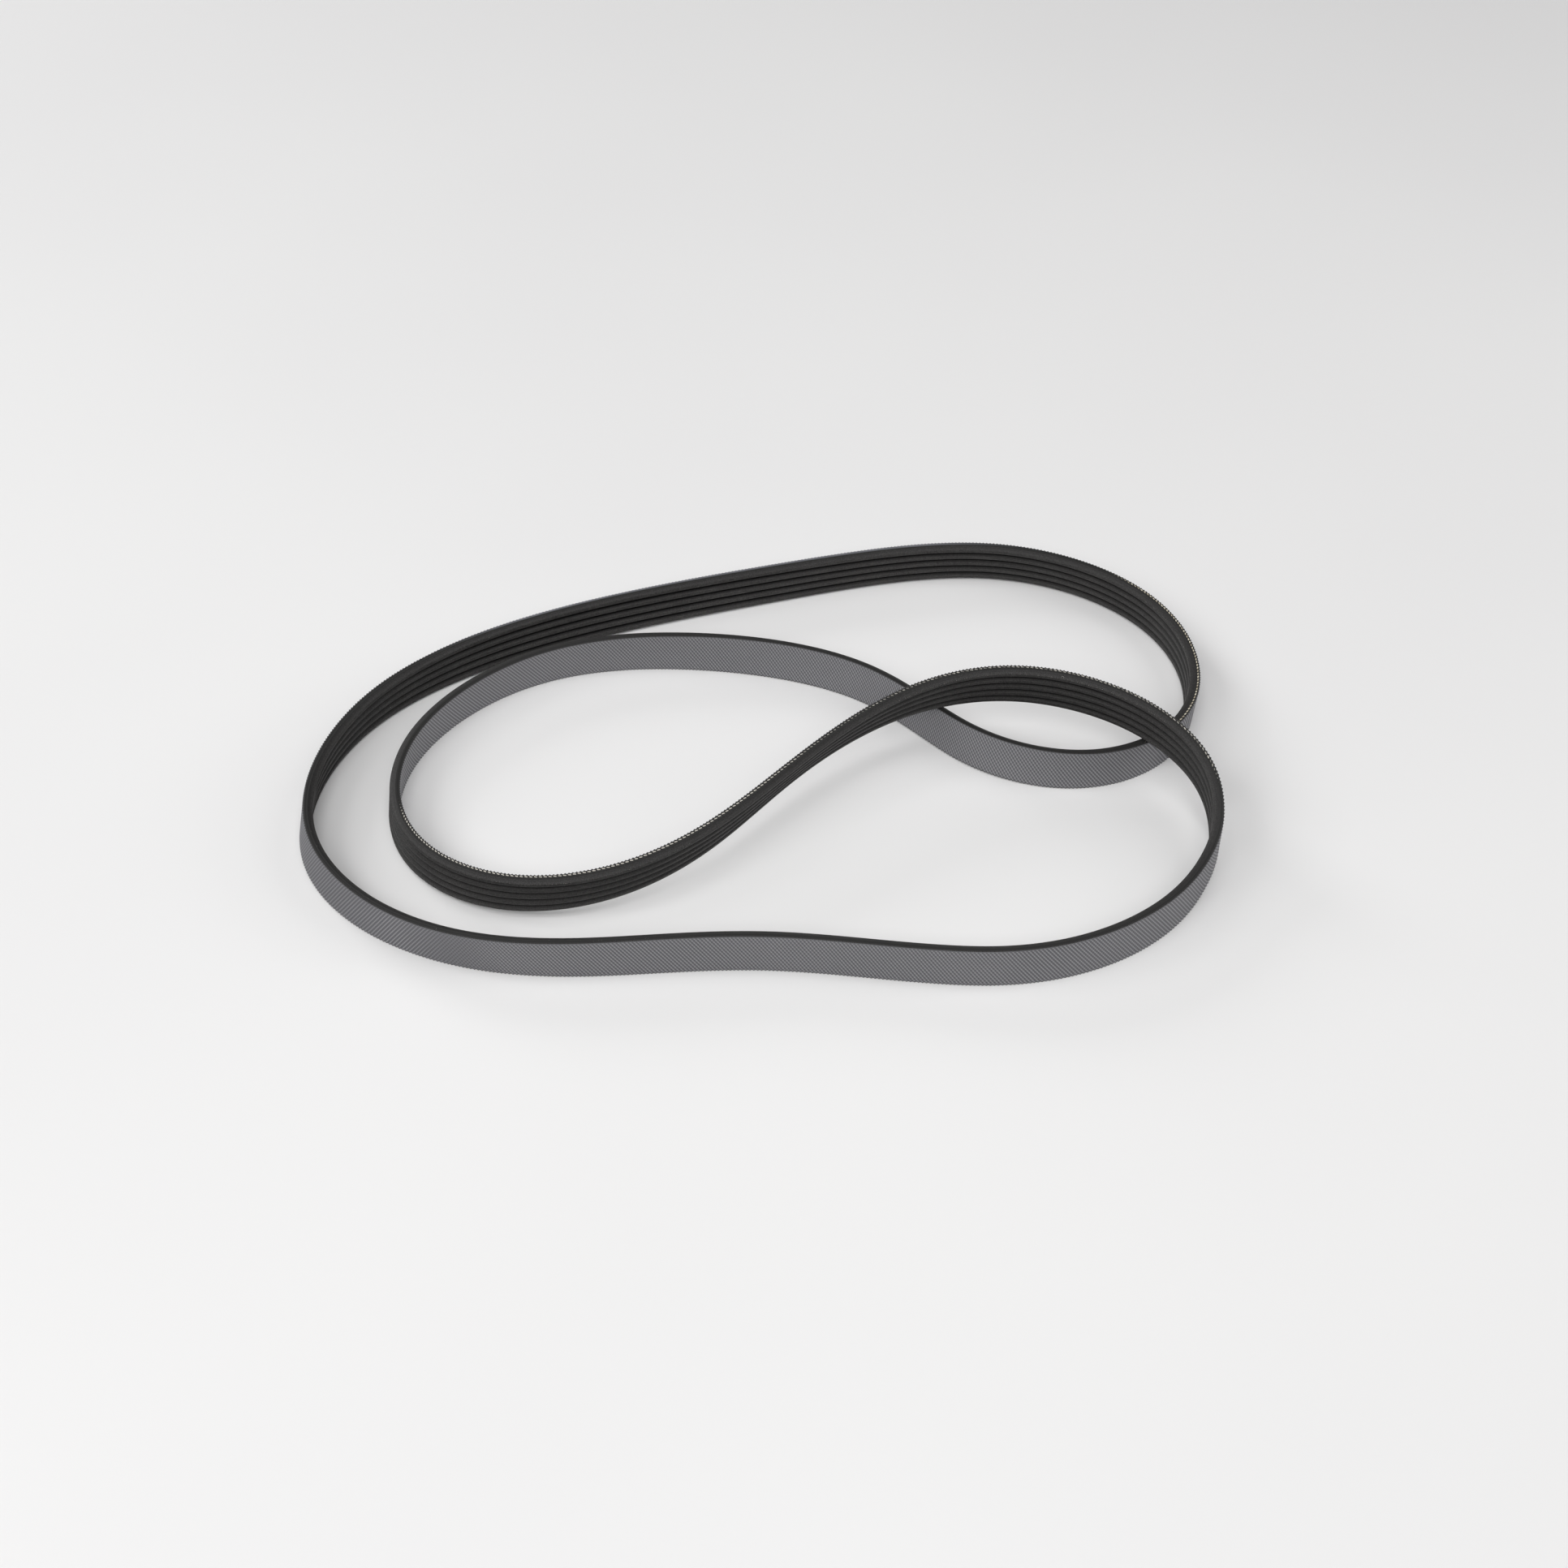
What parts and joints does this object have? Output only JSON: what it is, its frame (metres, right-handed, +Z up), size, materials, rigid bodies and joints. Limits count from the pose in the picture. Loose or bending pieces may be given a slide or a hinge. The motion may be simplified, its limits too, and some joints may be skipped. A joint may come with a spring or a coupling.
{
  "type": "multi-rib drive belt",
  "caption": "Endless ribbed accessory drive belt for a car engine, lying on its cut edge in a loose loop that crosses over itself, ribs on the inside.",
  "frame": {"origin": "on the surface the belt lies on, under the middle of the loop's outline", "axes": "+X along the loop's longest extent, +Y from its front run to its back run, +Z up across the belt's width"},
  "size_m": [0.359, 0.248, 0.0385],
  "materials": {
    "rib_rubber": "matte charcoal moulded rubber, slightly dusty",
    "backing_fabric": "grey rubberised woven backing with a fine diamond print"
  },
  "bodies": {
    "root": {"ribbed_belt": "rib_rubber"}
  },
  "joints": []
}
